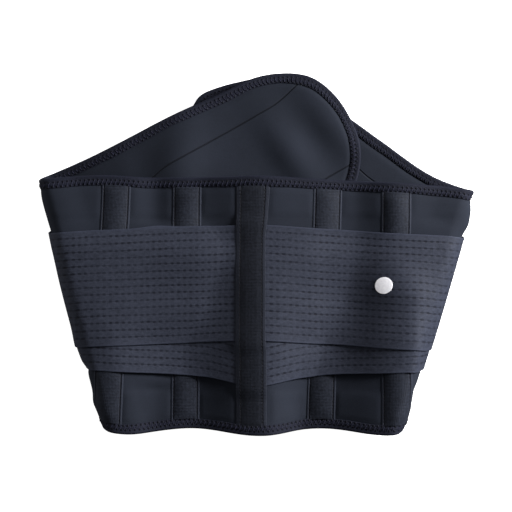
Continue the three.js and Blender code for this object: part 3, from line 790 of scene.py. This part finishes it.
def spine_floor(t):
    """Height that the spine cover lies at: a soft step up at each band's edge that it crosses."""
    one = BAND_THICK + GAP
    hi, lo_top = band_high(1, 8.0), band_low(1, 8.0) + BAND_WIDE
    lo, hi_bottom = band_low(1, 8.0), band_high(1, 8.0) - BAND_WIDE
    soft = 14.0
    low_band = ease((t - lo) / soft + 1.1) * (1 - ease((t - lo_top) / STEP))
    high_band = ease((t - hi_bottom) / soft + 1.1) * (1 - ease((t - hi) / soft))
    return OUTER + GAP + one * (low_band + high_band)


def spine_side(t):
    """Reach of the spine cover's right edge: full above the bands, drawn in over them, less so below."""
    drawn = ease((88 - t) / 24) * (1 - 0.4 * ease((-30 - t) / 20))
    return 14.6 + 1.8 * ease((t - 84) / 30) - 2.3 * drawn


def spine_cover():
    """A flange at each edge, a sewn groove, and a flat body raised between the grooves."""
    d = np.concatenate([np.linspace(-14.9, -9.2, 18), np.linspace(-8.4, 8.4, 16),
                        np.linspace(9.2, SPINE_HALF, 17)])
    lo, hi = wave_edge(SPINE_AT) + TUCK, top_edge(np.array([SPINE_AT]))[0] - TUCK
    t = lo + (hi - lo) * edged(170, hi - lo)
    D, T = np.meshgrid(d, t, indexing="ij")
    S = SPINE_AT + np.where(D > 0, D * spine_side(T) / SPINE_HALF, D)
    end = ease(np.minimum(T - lo, hi - T) / 4)
    low = spine_floor(T) - (GAP - 0.12) * (1 - end)
    body = ease((9.6 - np.abs(D)) / 4.5)
    groove = np.exp(-((np.abs(D) - SPINE_SEAM) / 0.7) ** 2)
    top = low + 0.4 + 0.15 * ease((14.6 - np.abs(D)) / 3) + 0.28 * body * end - 0.15 * groove
    top = top + 0.10 * body * end * np.sin(T / 8.0)
    o = sheet("spine_tape", S, T, low, top, SPINE_TAPE, np.stack([D, T], -1), 0.5)
    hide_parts("spine_cover")
    runs, heights = [], []
    for at in (-SPINE_SEAM, SPINE_SEAM):
        y = np.linspace(lo + 2.5, hi - 2.5, 120)
        wide = spine_side(y) / SPINE_HALF if at > 0 else 1.0
        a, b = run_of(np.stack([SPINE_AT + at * wide + 0 * y, y], 1), PITCH, STITCH)
        runs.append((a, b))
        heights.append(spine_floor((a[:, 1] + b[:, 1]) / 2) + 0.42)
    a, b = (np.concatenate(x) for x in zip(*runs))
    o = thread("spine_stitches", a, b, np.concatenate(heights), 0.3, SEAM)


def loop_panel(side):
    """The strip on a wing's outer face, and the seams that sew it through to the inner face."""
    word = "right" if side > 0 else "left"
    far = CENTRE[side] + END_RADIUS[side] - LOOP_INSET
    start = LOOP_START - (CENTRE[-1] - CENTRE[side])
    tip = 25.8 * np.sin(np.linspace(0.04, 1, 26) * np.pi / 2)
    a = np.concatenate([np.linspace(start, far - 26, 50), far - 26 + tip])
    zero = np.zeros_like(a)
    low = np.maximum(LOOP_LOW, meet(side * a, zero, LOOP_INSET, False))
    high = np.minimum(LOOP_HIGH, meet(side * a, zero, LOOP_INSET, True))
    T = low[:, None] + (high - low)[:, None] * edged(30, LOOP_HIGH - LOOP_LOW)
    S = np.broadcast_to(side * a[:, None], T.shape).copy()
    if side < 0:
        S, T = S[::-1], T[::-1]
    under = np.full_like(S, OUTER + GAP)
    o = sheet(f"loop_strip_{word}", S, T, under, under + LOOP_THICK, LOOP, np.stack([S, T], -1), 0.5)
    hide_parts(f"loop_panel_{word}")
    y = np.stack([low + 2.2, high - 2.2])
    keep = a < far - 14
    a, y = a[keep], y[:, keep]
    lines = [run_of(np.stack([side * a, row], 1), PITCH, STITCH) for row in y]
    p, q = (np.concatenate(x) for x in zip(*lines))
    heights = np.concatenate([np.full(len(p), h) for h in (-(OUTER + 0.02), OUTER + GAP + 1.05)])
    o = thread(f"loop_stitches_{word}", np.concatenate([p, p]), np.concatenate([q, q]), heights, 0.26,
               SEAM)


def tab_grid(side, start, trim, n, m):
    """Rounded tongue: its half height eases to the tip's, h, and closes on h sqrt(1 - 0.75 u^2)."""
    tip = mix(TAB_SHOULDER, TAB_END - trim, np.sin(np.linspace(0.05, 1, n // 2) * np.pi / 2))
    a = np.concatenate([np.linspace(start, TAB_SHOULDER, n), tip])
    taper = mix(TAB_HALF, TAB_TIP, np.clip((a - TAB_START) / (TAB_SHOULDER - TAB_START), 0, 1))
    u = np.clip((a - TAB_SHOULDER) / (TAB_END - TAB_SHOULDER), 0, 1)
    half = np.where(a > TAB_SHOULDER, TAB_TIP * np.sqrt(1 - 0.75 * u * u), taper) - trim
    T = TAB_MID + half[:, None] * (edged(m, 100) * 2 - 1)
    S = np.broadcast_to(side * a[:, None], T.shape).copy()
    return S[::side], T[::side]


def pull_tab(side):
    """The tab over the bands' ends, the hook patch under it, and the stitches round its rim."""
    word = "right" if side > 0 else "left"
    face = WING_LEVEL
    S, T = tab_grid(side, BAND_END + 8, 4, 20, 24)
    o = sheet(f"hook_patch_{word}", S, T, np.full_like(S, OUTER + 2 * GAP + LOOP_THICK),
              np.full_like(S, face - TAB_THICK - GAP), HOOK, np.stack([S, T], -1), 0.5)
    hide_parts(f"tab_hook_patch_{word}")
    S, T = tab_grid(side, TAB_START, 0, 30, 40)
    o = sheet(f"tab_{word}", S, T, np.full_like(S, face - TAB_THICK), np.full_like(S, face), WEB,
              np.stack([T, S], -1), 0.6)
    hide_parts(f"pull_tab_{word}")
    grid = np.stack(tab_grid(side, TAB_START + 3, 3, 30, 20), -1)[::side]
    a, b = run_of(np.concatenate([grid[:, 0], grid[-1], grid[::-1, -1]]), PITCH, STITCH)
    o = thread(f"tab_stitches_{word}", a, b, np.full(len(a), face - 0.35), 0.3, PALE_THREAD)


def size_sticker():
    """A paper disc pressed on the band: a square grid rounded off, x sqrt(1 - y^2 / 2) either way."""
    g = edged(21, 2 * STICKER_RADIUS, 0.3) * 2 - 1
    X, Y = np.meshgrid(g, g, indexing="ij")
    S = STICKER_S + STICKER_RADIUS * X * np.sqrt(1 - Y * Y / 2)
    T = STICKER_T + STICKER_RADIUS * Y * np.sqrt(1 - X * X / 2)
    low = band_floor(1, S, T, True) + BAND_THICK + 0.25 * np.sin(np.abs(S) / 23.0 + T / 40.0) + 0.03
    o = sheet("sticker_disc", S, T, low, low + 0.4, PAPER, np.stack([S, T], -1), 0.3)
    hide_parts("size_sticker")


cloth = belt_cloth()
edge_binding()
for side in (-1, 1):
    band(side, False)
    band(side, True)
    loop_panel(side)
    pull_tab(side)
for i in range(4):
    stay_channel(i)
spine_cover()
size_sticker()


# Stage, light and camera

def lay_floor():
    """A bright floor that is seen by the camera but throws no light on the belt."""
    mesh = bpy.data.meshes.new("floor")
    mesh.from_pydata([(-4, -4, 0), (4, -4, 0), (4, 4, 0), (-4, 4, 0)], [], [(0, 1, 2, 3)])
    floor = bpy.data.objects.new("floor", mesh)
    bpy.context.scene.collection.objects.link(floor)
    m = Paint("pale floor", Specular_IOR_Level=0.1)
    grain = m.noise(40, 2)
    m.feed("Base Color", m.blend(grain, (0.93, 0.93, 0.93, 1), (0.95, 0.95, 0.95, 1)))
    m.feed("Roughness", 0.9 + grain * 0.05)
    m.shader.inputs["Emission Color"].default_value = (1, 1, 1, 1)
    m.shader.inputs["Emission Strength"].default_value = 0.95
    mesh.materials.append(m.material)
    floor.visible_diffuse = floor.visible_glossy = False


def lamp(name, at, aim, size, power):
    """A round lamp at a point in metres, turned to another."""
    data = bpy.data.lights.new(name, "AREA")
    data.shape, data.size, data.energy = "DISK", size, power / REFLECT
    o = bpy.data.objects.new(name, data)
    bpy.context.scene.collection.objects.link(o)
    o.location = at
    o.rotation_euler = (Vector(aim) - Vector(at)).to_track_quat("-Z", "Y").to_euler()


lay_floor()
lamp("key", (1.76, 0.72, 0.78), (0, 0, 0), 0.6, 65)
lamp("fill", (-0.6, 1.6, 2.6), (0, 0, 0), 2.0, 3)
lamp("low left", (-1.5, 0.4, 0.07), (-0.2, 0, 0.03), 0.15, 3.4)
bpy.context.scene.view_settings.view_transform = "Standard"
world = bpy.data.worlds.new("studio")
bpy.context.scene.world = world
world.use_nodes = True
world.node_tree.nodes["Background"].inputs[0].default_value = (1, 1, 1, 1)
world.node_tree.nodes["Background"].inputs[1].default_value = 0.08 / REFLECT

PIXEL, FAR = 0.00096, 1.160                 # photo pixel on the back panel, and the camera's distance
data = bpy.data.cameras.new("camera")
eye = bpy.data.objects.new("camera", data)
bpy.context.scene.collection.objects.link(eye)
bpy.context.scene.camera = eye
eye.location = (PIXEL + SHIFT[0] * MM, 49.5 * PIXEL + SHIFT[1] * MM, FAR + 0.036)
data.sensor_width, data.lens = 36, 36 * FAR / (512 * PIXEL)
data.clip_end = 20
